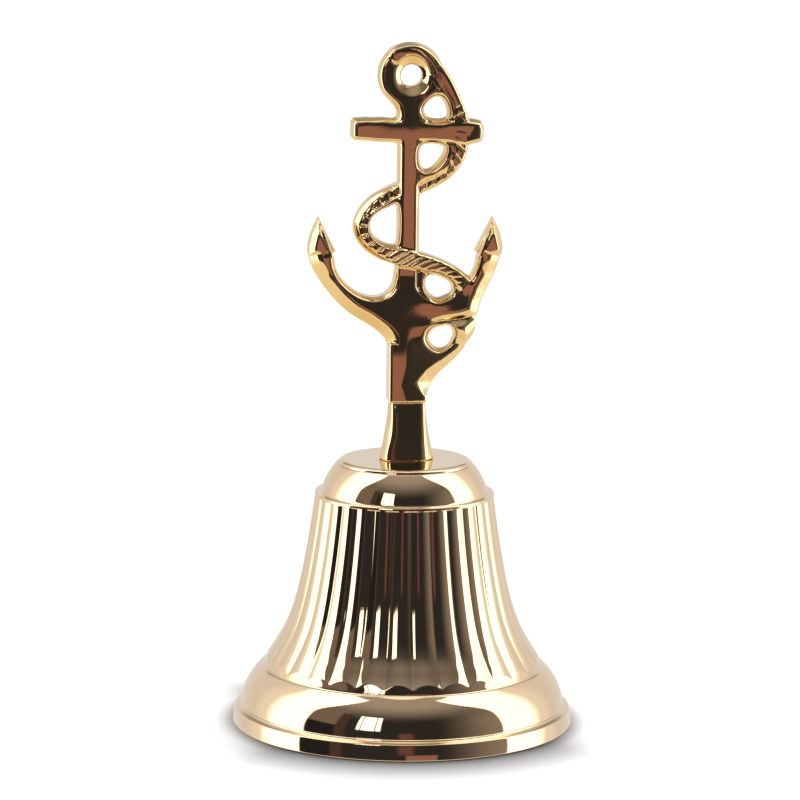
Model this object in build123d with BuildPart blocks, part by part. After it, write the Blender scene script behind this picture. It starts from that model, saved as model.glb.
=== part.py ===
"""Hand bell with a foul-anchor handle: cast bell, cast handle, crown hardware and a swinging clapper.

Frame: millimetres, +Z up, origin at the centre of the mouth.
The anchor lies flat in the XZ plane, and its front faces -Y.
"""
from build123d import *
from math import atan2, cos, degrees, radians
import os

# ---- bell casting -------------------------------------------------------------------------
MOUTH_R = 45.0          # widest radius, on the rounded rim band
MOUTH_INNER_R = 41.2
RIM_BAND_H = 4.6
LIP_R = 43.0            # foot of the convex lip, just above the rim band
LIP_BULGE = (41.3, 10.6)     # a point half way up the lip's arc
LEDGE_R = 23.75         # top of the waist
LEDGE_Z = 61.7
SHOULDER_R = 22.1       # foot of the shoulder, set in from the ledge
SHOULDER_BULGE = (20.46, 66.23)
SHOULDER_TOP_R = 17.9
SHOULDER_TOP_Z = 69.7
BOSS_R = 17.4           # flat crown boss that the handle stands on
CROWN_Z = 70.7
ROOF_Z = 66.0           # inner face of the crown
ROOF_R = 16.4
CROWN_HOLE_R = 3.2

# points (r, z) on the waist, from the lip up to the ledge, and control points of its inner face
WAIST = [(37.5, 15.4), (36.0, 17.6), (34.2, 20.4), (31.9, 24.5), (29.65, 30.0), (27.55, 38.0),
         (25.65, 48.0), (24.2, 58.0), (LEDGE_R, LEDGE_Z)]
WAIST_INSIDE = [(20.9, 60.5), (22.4, 42.0), (26.8, 25.0), (33.2, 17.6)]

REED_COUNT = 30         # convex reeds round the waist, parted by V valleys
REED_PHASE = -91.5
VALLEY_DEPTH = 0.45
VALLEY_W = 2.2
VALLEY_SPAN = (0.05, 0.97)   # part of the waist's curve that the valleys cover

# ---- handle casting -----------------------------------------------------------------------
CASTING_T = 8.0         # thickness of the anchor along Y
BEVEL_W = 0.9           # side bevel of the anchor, seen from the front
BEVEL_DEPTH = 2.4       # the same bevel along the thickness
SHANK_W = 6.0
SHANK_LOW_Z = 104.0     # inside the crown, where the arms meet
STOCK_Z = 158.3
STOCK_H = 6.1
STOCK_L = 35.3
STOCK_X = 2.35          # the stock reaches further on the rope's side
STOCK_TILT = -1.3       # degrees, the rope's side hangs a little lower
STOCK_FILLET = 1.2
NECK_W = 6.6
NECK_FILLET = 3.0
HEAD_R = 8.7
HEAD_X = 0.4
HEAD_Z = 172.4
HEAD_HOLE_R = 2.85
HEAD_SINK_R = 5.1
HEAD_SINK_DEPTH = 2.2
STEM_W = 10.2
STEM_FLARE_Z = 87.0     # below this height the stem flares out to its foot
STEM_FOOT_W = 14.0
STEM_FOOT_D = 9.0
STEM_CORNER_R = 2.0
ROPE_W = 4.4
ROPE_T = 7.0            # the rope is a little thinner than the anchor ...
ROPE_PROUD_Y = 4.7      # ... and stands proud of it where it crosses over

# Centre line of the rope in the XZ plane: down from the head behind the stock and the shank,
# round the left side, back across the front of the shank, then under the right arm to the stem.
ROPE_BEHIND = [(-2.0, 178.6), (3.6, 177.4), (8.2, 171.7), (12.0, 164.4), (13.8, 158.5), (13.2, 152.2),
               (10.2, 147.6), (3.1, 143.8), (-4.5, 141.8)]
ROPE_BEND = [(-4.5, 141.8), (-10.2, 137.6), (-12.1, 132.5), (-10.3, 128.7), (-5.6, 126.3)]
ROPE_FRONT = [(-5.6, 126.3), (2.0, 124.2), (10.0, 120.4), (15.6, 116.8), (17.5, 111.8)]
ROPE_LOOP = [(17.5, 111.8), (16.2, 105.2), (11.8, 98.8), (6.6, 95.3), (3.4, 91.0)]

# ---- crown hardware, M6 ---------------------------------------------------------------------
STUD_R = 3.0
STUD_GRIP = 16.0        # length screwed into the handle's foot
FIT = 0.05              # radial clearance of a running fit
CROWN_WASHER_R = 9.0
CROWN_WASHER_T = 1.4
LOCK_WASHER_R = 5.9
LOCK_WASHER_T = 1.5
NUT_FLATS = 10.0
NUT_H = 5.0
YOKE_GAP = 0.2          # play of the yoke above and below

# ---- clapper yoke, pin and clapper ------------------------------------------------------------
YOKE_T = 1.8
YOKE_W = 9.0
YOKE_INNER = 13.2       # clear width between the legs
PIN_Z = 45.6
PIN_R = 1.5
PIN_HEAD_R = 2.6
PIN_HEAD_T = 1.2
CLIP_R = 2.9
CLIP_T = 0.6
PIN_TAIL = 2.0          # length of the pin past the leg on the clip's side
SPACER_R = 2.5
EYE_R = 4.0
EYE_T = 5.0
ROD_R = 2.2
BALL_R = 8.5
BALL_Z = 10.3
JAM_NUT_FLATS = 7.0
JAM_NUT_H = 2.6

# heights of the hardware, from the roof down
crown_washer_low = ROOF_Z - CROWN_WASHER_T
lock_washer_low = crown_washer_low - LOCK_WASHER_T
crown_nut_low = lock_washer_low - NUT_H
yoke_top = crown_nut_low - YOKE_GAP
yoke_nut_top = yoke_top - YOKE_T - YOKE_GAP
stud_low = yoke_nut_top - NUT_H - 0.8

# distances along Y from the middle of the clapper out to the yoke's legs and the pin's ends
leg_inside = YOKE_INNER / 2
leg_outside = leg_inside + YOKE_T
pin_tail_y = -leg_outside - PIN_TAIL
clip_y = -leg_outside - 0.4


def washer(outer_r, inner_r, low, thick):
    """Flat ring about Z."""
    with BuildPart() as ring:
        with BuildSketch(Plane.XY.offset(low)):
            Circle(outer_r)
            Circle(inner_r, mode=Mode.SUBTRACT)
        extrude(amount=thick)
    return ring


def hex_nut(flats, bore_r, low, height):
    """Hexagon nut about Z, its corners turned off at both ends."""
    corner_r = flats / 2 / cos(radians(30))
    bevel = 0.5
    high = low + height
    with BuildPart() as nut:
        with BuildSketch(Plane.XY.offset(low)):
            RegularPolygon(radius=flats / 2, side_count=6, major_radius=False)
            Circle(bore_r, mode=Mode.SUBTRACT)
        extrude(amount=height)
        with BuildSketch(Plane.XZ):
            Polygon((0, low), (flats / 2, low), (corner_r, low + bevel), (corner_r, high - bevel),
                    (flats / 2, high), (0, high), align=None)
        revolve(axis=Axis.Z, mode=Mode.INTERSECT)
    return nut


def pin_ring(outer_r, inner_r, start_y, thick):
    """Ring round the pin's axis, from start_y towards +Y."""
    with BuildPart() as ring:
        with BuildSketch(Plane((0, start_y, PIN_Z), x_dir=(1, 0, 0), z_dir=(0, 1, 0))):
            Circle(outer_r)
            Circle(inner_r, mode=Mode.SUBTRACT)
        extrude(amount=thick)
    return ring


# ---- bell_shell ---------------------------------------------------------------------------
with BuildLine(Plane.XZ) as waist_line:
    Spline(*WAIST)
valley_path = waist_line.edge().trim(*VALLEY_SPAN)

with BuildPart() as valley:
    with BuildSketch(Plane(valley_path @ 0, x_dir=(0, 1, 0), z_dir=valley_path % 0)) as valley_section:
        Polygon((-VALLEY_W / 2, VALLEY_DEPTH), (VALLEY_W / 2, VALLEY_DEPTH), (0, -VALLEY_DEPTH),
                align=None)
    sweep(path=valley_path)

with BuildPart() as bell_shell:
    with BuildSketch(Plane.XZ):
        with BuildLine():
            # outside, from the rim up to the crown
            Polyline((MOUTH_INNER_R, 0), (MOUTH_R - 0.5, 0), (MOUTH_R, 0.5), (MOUTH_R - 0.5, 4.1),
                     (LIP_R + 0.4, RIM_BAND_H), (LIP_R, RIM_BAND_H + 0.2))
            ThreePointArc((LIP_R, RIM_BAND_H + 0.2), LIP_BULGE, WAIST[0])
            Spline(*WAIST)
            Line(WAIST[-1], (SHOULDER_R, LEDGE_Z + 0.2))
            ThreePointArc((SHOULDER_R, LEDGE_Z + 0.2), SHOULDER_BULGE, (SHOULDER_TOP_R, SHOULDER_TOP_Z))
            Polyline((SHOULDER_TOP_R, SHOULDER_TOP_Z), (BOSS_R, SHOULDER_TOP_Z + 0.4),
                     (BOSS_R - 0.7, CROWN_Z), (CROWN_HOLE_R, CROWN_Z), (CROWN_HOLE_R, ROOF_Z),
                     (ROOF_R, ROOF_Z))
            # inside, from the roof down to the mouth
            ThreePointArc((ROOF_R, ROOF_Z), (19.5, 64.5), WAIST_INSIDE[0])
            Bezier(*WAIST_INSIDE)
            ThreePointArc(WAIST_INSIDE[-1], (38.4, 9.6), (MOUTH_INNER_R, 0))
        make_face()
    revolve(axis=Axis.Z)
    with PolarLocations(0, REED_COUNT, start_angle=REED_PHASE):
        add(valley.part, mode=Mode.SUBTRACT)

# ---- anchor_handle --------------------------------------------------------------------------
def rope_run(points, front_y, back_y):
    """Flat ribbon along one run of the rope's centre line, from front_y to back_y."""
    with BuildPart() as run:
        with BuildSketch(Plane.XZ.offset(-back_y)):
            with BuildLine():
                Spline(*points)
            trace(line_width=ROPE_W)
        extrude(amount=back_y - front_y)
    return run


with BuildPart() as anchor_handle:
    with BuildSketch(Plane.XZ) as anchor_outline:
        # one arm with its fluke, mirrored
        with BuildLine():
            ThreePointArc((STEM_W / 2, 100.5), (5.8, 103.6), (7.6, 105.9))
            ThreePointArc((7.6, 105.9), (16.8, 111.6), (24.3, 121.2))
            ThreePointArc((24.3, 121.2), (25.8, 127.6), (22.9, 135.3))
            Polyline((22.9, 135.3), (18.3, 126.6), (18.8, 124.0))
            ThreePointArc((18.8, 124.0), (17.2, 119.2), (12.8, 115.3))
            ThreePointArc((12.8, 115.3), (7.9, 114.3), (4.1, 116.8))
            Polyline((4.1, 116.8), (SHANK_W / 2, 120.5), (0, 120.5), (0, 100.5), (STEM_W / 2, 100.5))
        make_face()
        mirror(about=Plane.YZ)
        # stem, shank, neck and head plate
        with Locations((0, (STEM_FLARE_Z + SHANK_LOW_Z) / 2)):
            Rectangle(STEM_W, SHANK_LOW_Z - STEM_FLARE_Z)
        with Locations((0, (SHANK_LOW_Z + STOCK_Z) / 2)):
            Rectangle(SHANK_W, STOCK_Z - SHANK_LOW_Z)
        with Locations((HEAD_X, (STOCK_Z + HEAD_Z) / 2)):
            Rectangle(NECK_W, HEAD_Z - STOCK_Z)
        with Locations((HEAD_X, HEAD_Z)):
            Circle(HEAD_R)
        with Locations(Location((STOCK_X, STOCK_Z), STOCK_TILT)):
            Rectangle(STOCK_L, STOCK_H)
        # rounded inside corners: neck to head and stock, stock to shank
        corners = anchor_outline.vertices().filter_by_position(Axis.Y, STOCK_Z - STOCK_H, HEAD_Z)
        inside = [corner for corner in corners if abs(corner.X) < STEM_W]
        fillet([corner for corner in inside if corner.Y > STOCK_Z + STOCK_H], radius=NECK_FILLET)
        fillet([corner for corner in inside if corner.Y < STOCK_Z + STOCK_H], radius=STOCK_FILLET)
    extrude(amount=CASTING_T / 2 - BEVEL_DEPTH, both=True)

    # side bevels, drawn in towards the front and towards the back
    bevel_angle = degrees(atan2(BEVEL_W, BEVEL_DEPTH))
    for side in (0, -1):
        extrude(anchor_handle.faces().sort_by(Axis.Y)[side], amount=BEVEL_DEPTH, taper=bevel_angle)

    # foot of the stem, flared out to the crown boss
    for height, width, depth in ((STEM_FLARE_Z, STEM_W, CASTING_T), (78.5, 12.0, 8.5),
                                 (CROWN_Z, STEM_FOOT_W, STEM_FOOT_D)):
        with BuildSketch(Plane.XY.offset(height)):
            RectangleRounded(width, depth, STEM_CORNER_R)
    loft()

    # rope, cast in one with the anchor
    add(rope_run(ROPE_BEHIND, -ROPE_T / 2, ROPE_PROUD_Y))
    add(rope_run(ROPE_BEND, -ROPE_T / 2, ROPE_T / 2))
    add(rope_run(ROPE_FRONT, -ROPE_PROUD_Y, ROPE_T / 2))
    add(rope_run(ROPE_LOOP, -ROPE_T / 2, ROPE_T / 2))

    # eye through the head, countersunk from both faces
    with Locations(Location((HEAD_X, 0, HEAD_Z), (90, 0, 0))):
        Cylinder(HEAD_HOLE_R, 2 * CASTING_T, mode=Mode.SUBTRACT)
    sink_y = (CASTING_T - HEAD_SINK_DEPTH) / 2
    for turn, centre_y in ((90, -sink_y), (-90, sink_y)):
        with Locations(Location((HEAD_X, centre_y, HEAD_Z), (turn, 0, 0))):
            Cone(HEAD_HOLE_R, HEAD_SINK_R, HEAD_SINK_DEPTH, mode=Mode.SUBTRACT)

    # blind hole for the stud, up into the foot
    with BuildSketch(Plane.XY.offset(CROWN_Z)):
        Circle(STUD_R)
    extrude(amount=STUD_GRIP, mode=Mode.SUBTRACT)

# ---- crown hardware -------------------------------------------------------------------------
with BuildPart() as handle_stud:
    with BuildSketch(Plane.XY.offset(stud_low)):
        Circle(STUD_R)
    extrude(amount=CROWN_Z + STUD_GRIP - 0.5 - stud_low)
    chamfer(handle_stud.edges().filter_by(GeomType.CIRCLE), length=0.5)

crown_washer = washer(CROWN_WASHER_R, STUD_R + 0.2, crown_washer_low, CROWN_WASHER_T)

# spring washer, split by a slanted slot
with BuildPart() as lock_washer:
    add(washer(LOCK_WASHER_R, STUD_R + 0.1, lock_washer_low, LOCK_WASHER_T))
    with BuildSketch(Plane.YZ):
        slot_middle = lock_washer_low + LOCK_WASHER_T / 2
        Polygon((-0.7, slot_middle - 1), (0.1, slot_middle - 1), (0.7, slot_middle + 1),
                (-0.1, slot_middle + 1), align=None)
    extrude(amount=LOCK_WASHER_R + 1, mode=Mode.SUBTRACT)

crown_nut = hex_nut(NUT_FLATS, STUD_R + FIT, crown_nut_low, NUT_H)
yoke_nut = hex_nut(NUT_FLATS, STUD_R + FIT, yoke_nut_top - NUT_H, NUT_H)

# ---- clapper_yoke: strap bent into a U, with rounded ends to its legs -------------------------
with BuildPart() as clapper_yoke:
    with BuildSketch(Plane.YZ.offset(-YOKE_W / 2)):
        with BuildLine():
            leg_end_z = PIN_Z - YOKE_W / 2
            FilletPolyline((-leg_outside, leg_end_z), (-leg_outside, yoke_top), (leg_outside, yoke_top),
                           (leg_outside, leg_end_z), radius=YOKE_T + 1)
            FilletPolyline((-leg_inside, leg_end_z), (-leg_inside, yoke_top - YOKE_T),
                           (leg_inside, yoke_top - YOKE_T), (leg_inside, leg_end_z), radius=1)
            Line((-leg_outside, leg_end_z), (-leg_inside, leg_end_z))
            Line((leg_outside, leg_end_z), (leg_inside, leg_end_z))
        make_face()
    extrude(amount=YOKE_W)
    # legs rounded about the pin
    with BuildSketch(Plane.XZ.offset(-leg_outside)):
        with Locations((0, PIN_Z)):
            Circle(YOKE_W / 2)
        with Locations((0, (PIN_Z + yoke_top) / 2)):
            Rectangle(YOKE_W, yoke_top - PIN_Z)
    extrude(amount=2 * leg_outside, mode=Mode.INTERSECT)
    # hole for the stud and holes for the pin
    with BuildSketch(Plane.XY.offset(yoke_top)):
        Circle(STUD_R + FIT)
    extrude(amount=-YOKE_T, mode=Mode.SUBTRACT)
    with BuildSketch(Plane.XZ.offset(-leg_outside)):
        with Locations((0, PIN_Z)):
            Circle(PIN_R + FIT)
    extrude(amount=2 * leg_outside, mode=Mode.SUBTRACT)

# ---- pin with its head, clip and spacers ------------------------------------------------------
with BuildPart() as yoke_pin:
    groove_depth = 0.4
    with BuildSketch(Plane.YZ):
        # half section of the pin, turned about its axis
        Polygon((pin_tail_y, PIN_Z), (pin_tail_y, PIN_Z + PIN_R - 0.3), (pin_tail_y + 0.3, PIN_Z + PIN_R),
                (clip_y - CLIP_T, PIN_Z + PIN_R), (clip_y - CLIP_T, PIN_Z + PIN_R - groove_depth),
                (clip_y, PIN_Z + PIN_R - groove_depth), (clip_y, PIN_Z + PIN_R),
                (leg_outside, PIN_Z + PIN_R), (leg_outside, PIN_Z + PIN_HEAD_R),
                (leg_outside + PIN_HEAD_T - 0.3, PIN_Z + PIN_HEAD_R),
                (leg_outside + PIN_HEAD_T, PIN_Z + PIN_HEAD_R - 0.6), (leg_outside + PIN_HEAD_T, PIN_Z),
                align=None)
    revolve(axis=Axis((0, 0, PIN_Z), (0, 1, 0)))

# snap ring in the pin's groove, open on one side
with BuildPart() as pin_clip:
    add(pin_ring(CLIP_R, PIN_R - groove_depth, clip_y - CLIP_T, CLIP_T))
    with BuildSketch(Plane.XZ.offset(-clip_y)):
        with Locations((0, PIN_Z - CLIP_R)):
            Rectangle(1.6, 2 * CLIP_R - 1.2)
    extrude(amount=2 * CLIP_T, both=True, mode=Mode.SUBTRACT)

spacer_length = leg_inside - EYE_T / 2 - 0.15
spacer_low = pin_ring(SPACER_R, PIN_R + FIT, -leg_inside, spacer_length)
spacer_high = pin_ring(SPACER_R, PIN_R + FIT, leg_inside - spacer_length, spacer_length)

# ---- clapper: rod with an eye, lock nut and ball ----------------------------------------------
with BuildPart() as clapper_rod:
    with BuildSketch(Plane.XZ):
        with Locations((0, PIN_Z)):
            Circle(EYE_R)
    extrude(amount=EYE_T / 2, both=True)
    with BuildSketch(Plane.XY.offset(BALL_Z)):
        Circle(ROD_R)
    extrude(amount=PIN_Z - BALL_Z)
    with BuildSketch(Plane.XZ):
        with Locations((0, PIN_Z)):
            Circle(PIN_R + FIT)
    extrude(amount=EYE_T, both=True, mode=Mode.SUBTRACT)

ball_flat_z = BALL_Z + BALL_R - 0.6
clapper_jam_nut = hex_nut(JAM_NUT_FLATS, ROD_R + FIT, ball_flat_z, JAM_NUT_H)

with BuildPart() as clapper_ball:
    with Locations((0, 0, BALL_Z)):
        Sphere(BALL_R)
    # flat seat for the lock nut, and the blind hole for the rod
    with BuildSketch(Plane.XY.offset(ball_flat_z)):
        Circle(BALL_R)
    extrude(amount=1, mode=Mode.SUBTRACT)
    with BuildSketch(Plane.XY.offset(BALL_Z)):
        Circle(ROD_R)
    extrude(amount=BALL_R, mode=Mode.SUBTRACT)

# ---- one STEP file for each piece -------------------------------------------------------------
pieces = {
    "bell_shell": bell_shell,
    "anchor_handle": anchor_handle,
    "handle_stud": handle_stud,
    "crown_washer": crown_washer,
    "lock_washer": lock_washer,
    "crown_nut": crown_nut,
    "yoke_nut": yoke_nut,
    "clapper_yoke": clapper_yoke,
    "yoke_pin": yoke_pin,
    "pin_clip": pin_clip,
    "spacer_low": spacer_low,
    "spacer_high": spacer_high,
    "clapper_rod": clapper_rod,
    "clapper_jam_nut": clapper_jam_nut,
    "clapper_ball": clapper_ball,
}
os.makedirs("parts", exist_ok=True)
for name, piece in pieces.items():
    piece.part.label = name
    export_step(piece.part, f"parts/{name}.step")
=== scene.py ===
"""Looks of a brass hand bell with an anchor for a handle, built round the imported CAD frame.

Shapes are given in millimetres, with the frame's origin and axes. A mesh is scaled to metres when
it is made.
"""

import math

import bpy
import numpy as np
from mathutils import Euler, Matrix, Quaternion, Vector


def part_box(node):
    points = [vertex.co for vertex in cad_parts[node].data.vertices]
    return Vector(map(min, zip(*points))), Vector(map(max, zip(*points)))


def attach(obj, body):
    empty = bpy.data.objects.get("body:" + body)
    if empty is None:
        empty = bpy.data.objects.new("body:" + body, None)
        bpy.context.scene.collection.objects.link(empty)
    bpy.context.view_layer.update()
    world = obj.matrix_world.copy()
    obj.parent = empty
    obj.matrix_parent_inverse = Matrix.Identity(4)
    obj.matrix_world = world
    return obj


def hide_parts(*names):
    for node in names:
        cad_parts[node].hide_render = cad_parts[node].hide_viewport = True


MM = 0.001

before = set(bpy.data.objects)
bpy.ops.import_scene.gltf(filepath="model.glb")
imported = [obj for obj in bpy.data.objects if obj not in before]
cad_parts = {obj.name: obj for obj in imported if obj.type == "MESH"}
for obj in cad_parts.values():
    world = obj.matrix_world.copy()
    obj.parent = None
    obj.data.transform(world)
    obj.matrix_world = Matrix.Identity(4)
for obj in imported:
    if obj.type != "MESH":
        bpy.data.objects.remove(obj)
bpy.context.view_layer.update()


# ---------------------------------------------------------------- lines and curves in a plane

def arc(start, middle, end, count=14):
    """Points along the circle through three points."""
    a, b, c = (np.array(p, float) for p in (start, middle, end))
    ab, ac = b - a, c - a
    double_area = 2 * (ab[0] * ac[1] - ab[1] * ac[0])
    shift = np.array([ac[1] * (ab @ ab) - ab[1] * (ac @ ac), ab[0] * (ac @ ac) - ac[0] * (ab @ ab)])
    centre = a + shift / double_area
    radius = np.hypot(*(a - centre))
    first = math.atan2(*(a - centre)[::-1])
    last = math.atan2(*(c - centre)[::-1])
    if double_area > 0 and last < first:
        last += 2 * math.pi
    if double_area < 0 and last > first:
        last -= 2 * math.pi
    angles = np.linspace(first, last, count)
    return [(centre[0] + radius * math.cos(t), centre[1] + radius * math.sin(t)) for t in angles]


def bezier(points, count=60):
    """Points along a cubic Bezier curve."""
    t = np.linspace(0, 1, count)[:, None]
    p = np.array(points, float)
    curve = (1 - t) ** 3 * p[0] + 3 * t * (1 - t) ** 2 * p[1] + 3 * t * t * (1 - t) * p[2] + t ** 3 * p[3]
    return [tuple(q) for q in curve]


def smooth_line(points, per_span=6):
    """Points along a smooth curve that passes through the given ones (Catmull-Rom)."""
    p = np.array(points, float)
    p = np.vstack([2 * p[0] - p[1], p, 2 * p[-1] - p[-2]])
    line = []
    for i in range(1, len(p) - 2):
        for t in np.linspace(0, 1, per_span, endpoint=False):
            a, b, c, d = p[i - 1], p[i], p[i + 1], p[i + 2]
            line.append(0.5 * (2 * b + (c - a) * t + (2 * a - 5 * b + 4 * c - d) * t * t
                               + (3 * b - a - 3 * c + d) * t ** 3))
    line.append(p[-2])
    return [tuple(q) for q in line]


def rounded(points, radius, count=5):
    """An open line whose inner corners are replaced by short curves."""
    p = [np.array(q, float) for q in points]
    line = [tuple(p[0])]
    for before, corner, after in zip(p[:-2], p[1:-1], p[2:]):
        to_before, to_after = before - corner, after - corner
        reach = min(radius, 0.45 * np.hypot(*to_before), 0.45 * np.hypot(*to_after))
        start = corner + to_before / np.hypot(*to_before) * reach
        end = corner + to_after / np.hypot(*to_after) * reach
        for t in np.linspace(0, 1, count):
            line.append(tuple((1 - t) ** 2 * start + 2 * t * (1 - t) * corner + t * t * end))
    line.append(tuple(p[-1]))
    return line


# ---------------------------------------------------------------- fields: negative inside, positive outside

def smooth_max(a, b, blend):
    """The larger of two fields, with their crease rounded over about the blend length."""
    overlap = np.maximum(blend - np.abs(a - b), 0) / blend
    return np.maximum(a, b) + overlap * overlap * blend / 4


def smooth_min(a, b, blend):
    return -smooth_max(-a, -b, blend)


def ramp(value, start, end):
    """0 before start, 1 after end, smooth between."""
    t = np.clip((value - start) / (end - start), 0, 1)
    return t * t * (3 - 2 * t)


def line_distance(x, z, points):
    """Distance to an open line of points."""
    best = np.full(np.broadcast(x, z).shape, np.inf)
    for (ax, az), (bx, bz) in zip(points[:-1], points[1:]):
        dx, dz = bx - ax, bz - az
        t = np.clip(((x - ax) * dx + (z - az) * dz) / (dx * dx + dz * dz), 0, 1)
        best = np.minimum(best, (x - ax - t * dx) ** 2 + (z - az - t * dz) ** 2)
    return np.sqrt(best)


def line_place(x, z, points):
    """Signed distance to a line, positive on its left, and how far along it the nearest point lies."""
    best = np.full(np.broadcast(x, z).shape, np.inf)
    across = np.zeros(best.shape)
    along = np.zeros(best.shape)
    start = 0.0
    for (ax, az), (bx, bz) in zip(points[:-1], points[1:]):
        dx, dz = bx - ax, bz - az
        length = math.hypot(dx, dz)
        t = np.clip(((x - ax) * dx + (z - az) * dz) / (length * length), 0, 1)
        away = (x - ax - t * dx) ** 2 + (z - az - t * dz) ** 2
        side = np.sign(dx * (z - az) - dz * (x - ax))
        nearer = away < best
        best = np.where(nearer, away, best)
        across = np.where(nearer, side * np.sqrt(away), across)
        along = np.where(nearer, start + t * length, along)
        start += length
    return across, along


def outline(x, z, points):
    """Signed distance to a closed outline, negative inside."""
    points = list(points) + [points[0]]
    inside = np.zeros(np.broadcast(x, z).shape, bool)
    for (ax, az), (bx, bz) in zip(points[:-1], points[1:]):
        if az != bz:
            crosses = ((az > z) != (bz > z)) & (x < (bx - ax) * (z - az) / (bz - az) + ax)
            inside = inside ^ crosses
    return np.where(inside, -1, 1) * line_distance(x, z, points)


def bar(x, z, centre, half_length, half_height, tilt=0.0):
    """A flat rectangle turned by tilt degrees."""
    c, s = math.cos(math.radians(tilt)), math.sin(math.radians(tilt))
    u = np.abs((x - centre[0]) * c + (z - centre[1]) * s) - half_length
    v = np.abs((z - centre[1]) * c - (x - centre[0]) * s) - half_height
    return np.hypot(np.maximum(u, 0), np.maximum(v, 0)) + np.minimum(np.maximum(u, v), 0)


def bevel(inward, y, half_depth, width, depth):
    """The sloping plane that takes width off an outline and depth off a plate's face."""
    return ((width - inward) * depth + (np.abs(y) - half_depth) * width) / np.hypot(width, depth)


# ---------------------------------------------------------------- meshes

def mesh_piece(name, points, faces):
    """A smooth-shaded object from points in millimetres and faces of four corners."""
    points = np.asarray(points, np.float32) * MM
    faces = np.asarray(faces, np.int32)
    mesh = bpy.data.meshes.new(name)
    mesh.vertices.add(len(points))
    mesh.vertices.foreach_set("co", points.ravel())
    mesh.loops.add(faces.size)
    mesh.loops.foreach_set("vertex_index", faces.ravel())
    mesh.polygons.add(len(faces))
    mesh.polygons.foreach_set("loop_start", np.arange(0, faces.size, faces.shape[1], dtype=np.int32))
    mesh.polygons.foreach_set("loop_total", np.full(len(faces), faces.shape[1], np.int32))
    mesh.polygons.foreach_set("use_smooth", np.ones(len(faces), bool))
    mesh.update(calc_edges=True)
    mesh.validate()
    piece = bpy.data.objects.new(name, mesh)
    bpy.context.scene.collection.objects.link(piece)
    return piece


CORNERS = [(i, j, k) for i in (0, 1) for j in (0, 1) for k in (0, 1)]
CELL_EDGES = [(a, b) for a in CORNERS for b in CORNERS if sum(b) == sum(a) + 1
              and all(q >= p for p, q in zip(a, b))]


def surface_net(field, low, high, step):
    """Points and four-cornered faces of the surface where a field is zero."""
    axes = [np.arange(a - step, b + 2 * step, step) for a, b in zip(low, high)]
    value = field(axes[0][:, None, None], axes[1][None, :, None], axes[2][None, None, :])
    cells = [n - 1 for n in value.shape]
    count = sum((value[i:i + cells[0], j:j + cells[1], k:k + cells[2]] < 0).astype(np.int8)
                for i, j, k in CORNERS)
    mixed = (count > 0) & (count < 8)
    where = np.argwhere(mixed)
    number = np.full(mixed.shape, -1, np.int64)
    number[mixed] = np.arange(len(where))
    total = np.zeros((len(where), 3))
    crossings = np.zeros(len(where))
    for a, b in CELL_EDGES:
        va = value[tuple((where + a).T)]
        vb = value[tuple((where + b).T)]
        crosses = (va < 0) != (vb < 0)
        t = np.where(crosses, va / np.where(crosses, va - vb, 1), 0)
        total += crosses[:, None] * (np.array(a) + t[:, None] * (np.array(b) - a))
        crossings += crosses
    origin = np.array([axis[0] for axis in axes])
    points = origin + step * (where + total / crossings[:, None])
    faces = []
    for axis in range(3):
        u, v = (axis + 1) % 3, (axis + 2) % 3
        first = np.moveaxis(value < 0, (axis, u, v), (0, 1, 2))
        change = first[:-1, 1:-1, 1:-1] != first[1:, 1:-1, 1:-1]
        at = np.argwhere(change)
        leaves = first[:-1, 1:-1, 1:-1][change]
        ids = np.moveaxis(number, (axis, u, v), (0, 1, 2))
        ring = np.stack([ids[at[:, 0], at[:, 1] + i, at[:, 2] + j]
                         for i, j in ((0, 0), (1, 0), (1, 1), (0, 1))], 1)
        faces.append(np.where(leaves[:, None], ring, ring[:, ::-1]))
    return points, np.vstack(faces)


def settle(points, field, rounds=2, reach=0.02):
    """Moves points onto a field's zero surface."""
    for _ in range(rounds):
        x, y, z = points.T
        here = field(x, y, z)
        slope = np.stack([field(x + reach, y, z) - here, field(x, y + reach, z) - here,
                          field(x, y, z + reach) - here], 1) / reach
        steepness = np.maximum((slope ** 2).sum(1), 0.2)
        move = -slope * (here / steepness)[:, None]
        points = points + np.clip(move, -0.1, 0.1)
    return points


def turned(name, profile, segments=96, radius_at=None):
    """A closed profile of (radius, height) points, outside first, turned round the Z axis."""
    profile = np.array(profile, float)
    angle = np.linspace(0, 2 * math.pi, segments, endpoint=False)
    radius = np.repeat(profile[:, :1], segments, 1)
    if radius_at is not None:
        radius = radius_at(radius, profile[:, 1:], angle[None, :])
    points = np.stack([radius * np.cos(angle), radius * np.sin(angle),
                       np.repeat(profile[:, 1:], segments, 1)], 2).reshape(-1, 3)
    rows, columns = np.meshgrid(np.arange(len(profile)), np.arange(segments), indexing="ij")
    next_row, next_column = (rows + 1) % len(profile), (columns + 1) % segments
    faces = np.stack([rows * segments + columns, rows * segments + next_column,
                      next_row * segments + next_column, next_row * segments + columns], 2).reshape(-1, 4)
    return mesh_piece(name, points, faces)


# ---------------------------------------------------------------- shader nodes

def socket(tree, target, value):
    """Links a socket to an output, or sets it to a plain value."""
    if isinstance(value, bpy.types.NodeSocket):
        tree.links.new(value, target)
    else:
        target.default_value = value


def add(tree, kind, inputs=None, output=0, **settings):
    """Adds a node, sets its inputs by name or number, and returns one of its outputs."""
    node = tree.nodes.new(kind)
    for key, value in settings.items():
        setattr(node, key, value)
    for key, value in (inputs or {}).items():
        socket(tree, node.inputs[key], value)
    return node.outputs[output]


def math_node(tree, operation, a, b=0.0, c=0.0):
    return add(tree, "ShaderNodeMath", {0: a, 1: b, 2: c}, operation=operation)


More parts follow.
